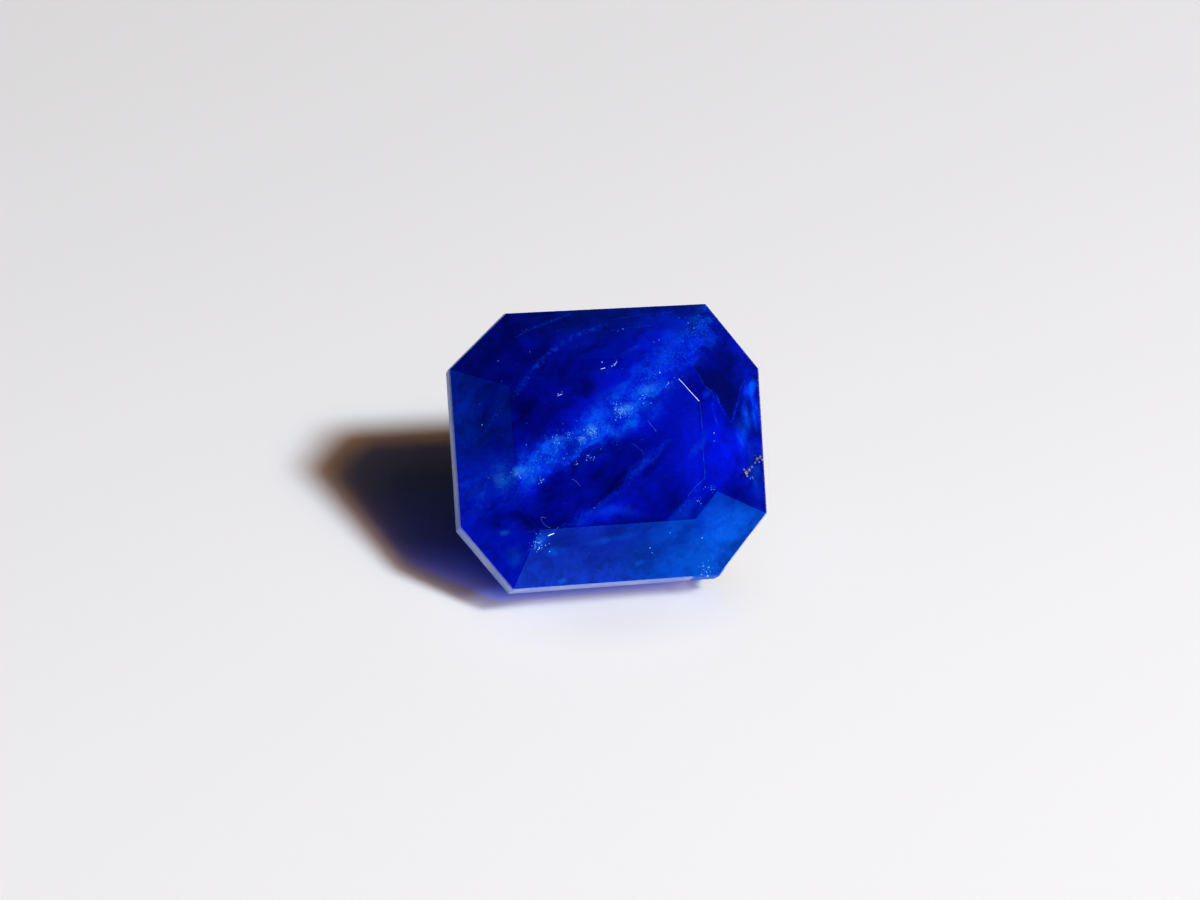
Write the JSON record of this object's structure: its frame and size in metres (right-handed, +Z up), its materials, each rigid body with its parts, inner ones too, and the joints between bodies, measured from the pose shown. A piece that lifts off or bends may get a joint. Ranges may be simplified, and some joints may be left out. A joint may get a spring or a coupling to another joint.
{
  "type": "faceted hauyne stone",
  "caption": "Loose polished blue hauyne cut as a rectangle with clipped corners, with a flat face, a stepped underside and a frosted edge band, lying tilted on one facet.",
  "frame": {"origin": "centre of the bounding box in plan, on the surface that the stone lies on", "axes": "+Z up, +X along the stone's long sides, -Y the way its large flat face leans"},
  "size_m": [0.0064, 0.0046, 0.0044],
  "materials": {
    "stone": "polished facets, clear deep blue stone with a frosted pale edge band"
  },
  "bodies": {
    "root": {"hauyne_stone": "stone"}
  },
  "joints": []
}
